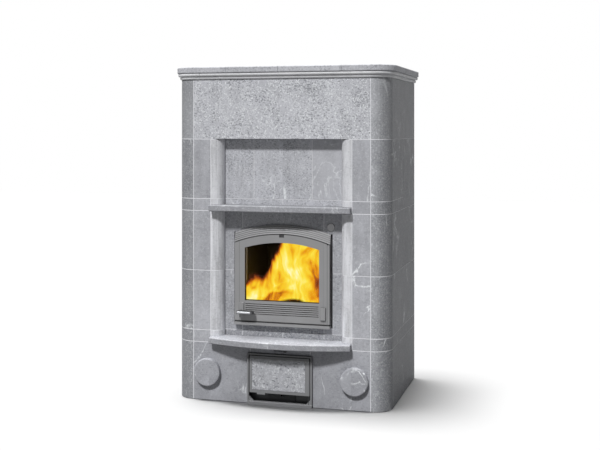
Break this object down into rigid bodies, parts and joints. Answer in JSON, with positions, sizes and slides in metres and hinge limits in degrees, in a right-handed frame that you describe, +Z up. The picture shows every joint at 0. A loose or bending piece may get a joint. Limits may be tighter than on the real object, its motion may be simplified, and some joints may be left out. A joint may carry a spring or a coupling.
{
  "type": "tiled stove",
  "caption": "Free-standing soapstone stove with an arched glass fire door, an ash door, a mantel shelf, a bowed hearth shelf and a beaded cornice.",
  "frame": {"origin": "on the floor under the middle of the body, at the underside of the base slab", "axes": "+Z up, -Y towards the front with the doors, +X to the right seen from the front"},
  "size_m": [1.146, 0.86, 1.68],
  "materials": {
    "soapstone": "honed light bluish grey soapstone",
    "pale_soapstone": "honed paler soapstone with upright veins",
    "speckled_soapstone": "honed soapstone with dark and white flecks",
    "core_stone": "rough refractory stone",
    "cast_iron": "satin grey heat paint on cast iron",
    "dark_steel": "matt near-black heat paint",
    "bright_steel": "brushed",
    "door_glass": "clear ceramic glass",
    "rope_seal": "braided glass-fibre rope"
  },
  "bodies": {
    "root": {"base_side_left": "soapstone", "base_front_left": "soapstone", "lower_belt_left": "soapstone", "fire_side_lower_left": "soapstone", "fire_side_upper_left": "soapstone", "upper_belt_left": "soapstone", "niche_side_left": "soapstone", "frieze_side_left": "soapstone", "jamb_lower_left": "pale_soapstone", "jamb_upper_left": "pale_soapstone", "niche_jamb_left": "pale_soapstone", "base_side_right": "soapstone", "base_front_right": "soapstone", "lower_belt_right": "soapstone", "fire_side_lower_right": "soapstone", "fire_side_upper_right": "soapstone", "upper_belt_right": "soapstone", "niche_side_right": "soapstone", "frieze_side_right": "soapstone", "jamb_lower_right": "pale_soapstone", "jamb_upper_right": "pale_soapstone", "niche_jamb_right": "pale_soapstone", "ash_lintel": "soapstone", "sill_stone": "soapstone", "door_arch": "soapstone", "upper_belt_recess": "soapstone", "mantel_shelf": "soapstone", "hearth_shelf": "soapstone", "cornice_moulding": "soapstone", "top_slab": "soapstone", "back_wall": "soapstone", "niche_panel_left": "speckled_soapstone", "niche_panel_centre": "speckled_soapstone", "niche_panel_right": "speckled_soapstone", "frieze_stone": "speckled_soapstone", "base_slab": "core_stone", "core_base": "core_stone", "core_block": "core_stone", "firebox_lining": "core_stone", "fire_grate": "dark_steel", "ash_pan": "dark_steel", "flue_collar": "dark_steel", "ash_door_frame": "dark_steel", "ash_hinge_rod": "dark_steel", "fire_door_frame": "cast_iron", "fire_door_header": "cast_iron", "door_sill_bar": "cast_iron", "round_boss": "bright_steel"},
    "fire_door": {"fire_door_leaf": "cast_iron", "door_glass": "door_glass", "glass_retainer": "dark_steel", "door_gasket": "rope_seal"},
    "latch": {"latch_handle": "bright_steel"},
    "door_air": {"air_slide": "cast_iron"},
    "ash_door": {"ash_door_leaf": "dark_steel", "ash_door_panel": "speckled_soapstone"},
    "ash_air": {"ash_air_slide": "dark_steel"},
    "grate_lever": {"air_lever": "dark_steel"},
    "soot_left": {"soot_cover_left": "soapstone"},
    "soot_right": {"soot_cover_right": "soapstone"}
  },
  "joints": [
    {"name": "fire_door_swing", "type": "hinge", "parent": "root", "child": "fire_door", "pos_m": [0.2425, -0.3315, 0.6], "axis": [0, 0, 1], "range_deg": [0, 110]},
    {"name": "latch_lift", "type": "hinge", "parent": "fire_door", "child": "latch", "pos_m": [-0.21, -0.34, 0.4538], "axis": [0, -1, 0], "range_deg": [0, 35]},
    {"name": "door_air_slide", "type": "slide", "parent": "fire_door", "child": "door_air", "axis": [-1, 0, 0], "range_m": [0, 0.012]},
    {"name": "ash_door_swing", "type": "hinge", "parent": "root", "child": "ash_door", "pos_m": [0.1495, -0.372, 0.15], "axis": [0, 0, 1], "range_deg": [0, 110]},
    {"name": "ash_air_travel", "type": "slide", "parent": "root", "child": "ash_air", "axis": [1, 0, 0], "range_m": [-0.06, 0.06]},
    {"name": "air_lever_travel", "type": "slide", "parent": "root", "child": "grate_lever", "axis": [-1, 0, 0], "range_m": [0, 0.05]},
    {"name": "soot_cover_left_pull", "type": "slide", "parent": "root", "child": "soot_left", "axis": [0, -1, 0], "range_m": [0, 0.06]},
    {"name": "soot_cover_right_pull", "type": "slide", "parent": "root", "child": "soot_right", "axis": [0, -1, 0], "range_m": [0, 0.06]}
  ]
}
